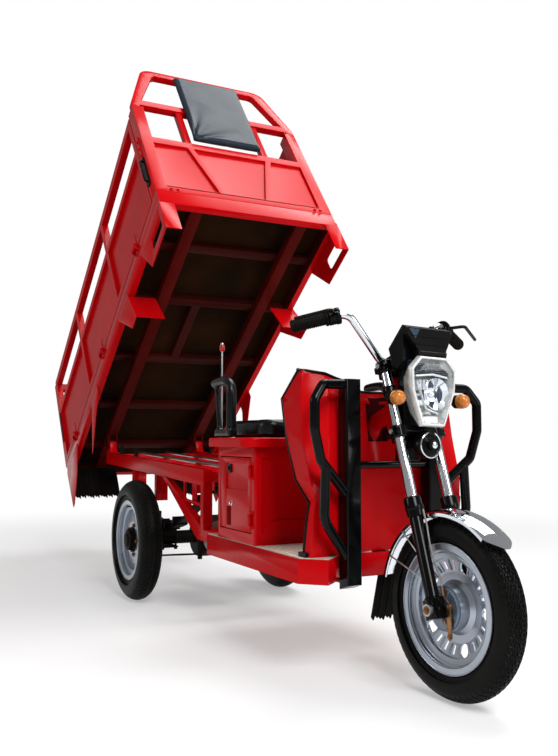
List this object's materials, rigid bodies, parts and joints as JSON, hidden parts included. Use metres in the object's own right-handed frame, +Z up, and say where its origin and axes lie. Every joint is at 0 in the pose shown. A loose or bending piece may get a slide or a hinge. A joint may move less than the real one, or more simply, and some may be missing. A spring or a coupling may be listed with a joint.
{
  "type": "electric cargo tricycle",
  "caption": "Three-wheeled electric load carrier with a tipping open bed, drop sides, tailgate, bench seat over a locker and a motorcycle fork with a curved leg shield.",
  "frame": {"origin": "on the ground under the middle of the overall length and width, with the bed raised as at rest", "axes": "+X forward, +Y to the vehicle's left, +Z up"},
  "size_m": [3.3611, 0.826, 2.3819],
  "materials": {
    "red_paint": "gloss",
    "black_paint": "satin",
    "motor_alloy": "satin",
    "tyre": "matte",
    "wheel_silver": "satin",
    "chrome": "polished",
    "checker_plate": "satin",
    "black_vinyl": "satin",
    "black_plastic": "satin",
    "rubber": "matte",
    "lamp_silver": "gloss",
    "clear_lens": "polished",
    "amber_lens": "gloss",
    "steel": "satin"
  },
  "bodies": {
    "chassis": {"armrests": "black_plastic", "battery_pack": "black_plastic", "bed_latch_lever": "chrome", "bed_rest": "black_paint", "chassis_frame": "red_paint", "drive_motor": "motor_alloy", "floor_plate": "checker_plate", "floor_skirt": "red_paint", "front_frame": "red_paint", "front_guard": "black_paint", "leaf_springs": "black_paint", "leg_shield": "red_paint", "rear_axle": "black_paint", "seat_box": "red_paint", "seat_cushion": "black_vinyl", "seat_platform": "red_paint", "spring_hangers": "red_paint"},
    "steering": {"bar_controls": "motor_alloy", "brake_levers": "chrome", "fork_sliders": "black_paint", "fork_tubes": "chrome", "fork_yokes": "red_paint", "front_axle": "chrome", "front_fender": "chrome", "front_mudflap": "rubber", "grips": "rubber", "handlebar": "chrome", "headlight_lens": "clear_lens", "headlight_shell": "lamp_silver", "horn": "black_plastic", "indicators": "amber_lens", "instrument_pod": "black_plastic", "lamp_brackets": "black_paint"},
    "front_wheel": {"front_wheel": "wheel_silver", "front_tyre": "tyre"},
    "rear_wheel_right": {"rear_wheel_right": "wheel_silver", "rear_tyre_right": "tyre"},
    "rear_wheel_left": {"rear_wheel_left": "wheel_silver", "rear_tyre_left": "tyre"},
    "box_door": {"box_door": "red_paint"},
    "bed": {"backrest_pad": "black_vinyl", "bed_floor": "red_paint", "bed_frame": "red_paint", "bed_mudflaps": "rubber", "bed_rails": "red_paint", "board_hinge_pins": "steel", "headboard": "red_paint", "headboard_hoop": "red_paint", "side_lugs_left": "red_paint", "side_lugs_right": "red_paint"},
    "side_board_right": {"side_board_right": "red_paint"},
    "side_board_left": {"side_board_left": "red_paint"},
    "tailgate": {"tailgate": "red_paint"}
  },
  "joints": [
    {"name": "bed_tip", "type": "hinge", "parent": "chassis", "child": "bed", "pos_m": [-0.98116, 0, 0.644], "axis": [0, -1, 0], "range_deg": [-36.5, 0]},
    {"name": "side_board_right_drop", "type": "hinge", "parent": "bed", "child": "side_board_right", "pos_m": [-0.58938, -0.405, 1.07448], "axis": [0.8039, 0, 0.5948], "range_deg": [0, 165]},
    {"name": "side_board_left_drop", "type": "hinge", "parent": "bed", "child": "side_board_left", "pos_m": [-0.58938, 0.405, 1.07448], "axis": [-0.8039, 0, -0.5948], "range_deg": [0, 165]},
    {"name": "tailgate_drop", "type": "hinge", "parent": "bed", "child": "tailgate", "pos_m": [-1.34983, 0, 0.51178], "axis": [0, -1, 0], "range_deg": [0, 115]},
    {"name": "box_door_swing", "type": "hinge", "parent": "chassis", "child": "box_door", "pos_m": [0.83534, -0.296, 0.489], "axis": [0, 0, 1], "range_deg": [0, 110]},
    {"name": "steering_turn", "type": "hinge", "parent": "chassis", "child": "steering", "pos_m": [1.22426, 0, 0.79089], "axis": [-0.3173, 0, 0.9483], "range_deg": [-42, 34]},
    {"name": "front_wheel_spin", "type": "hinge", "parent": "steering", "child": "front_wheel", "pos_m": [1.44775, 0.00244, 0.23297], "axis": [-0.0662, 0.9976, -0.0221], "continuous": true},
    {"name": "rear_wheel_right_spin", "type": "hinge", "parent": "chassis", "child": "rear_wheel_right", "pos_m": [-0.22216, -0.335, 0.248], "axis": [0, 1, 0], "continuous": true},
    {"name": "rear_wheel_left_spin", "type": "hinge", "parent": "chassis", "child": "rear_wheel_left", "pos_m": [-0.22216, 0.335, 0.248], "axis": [0, 1, 0], "continuous": true}
  ]
}
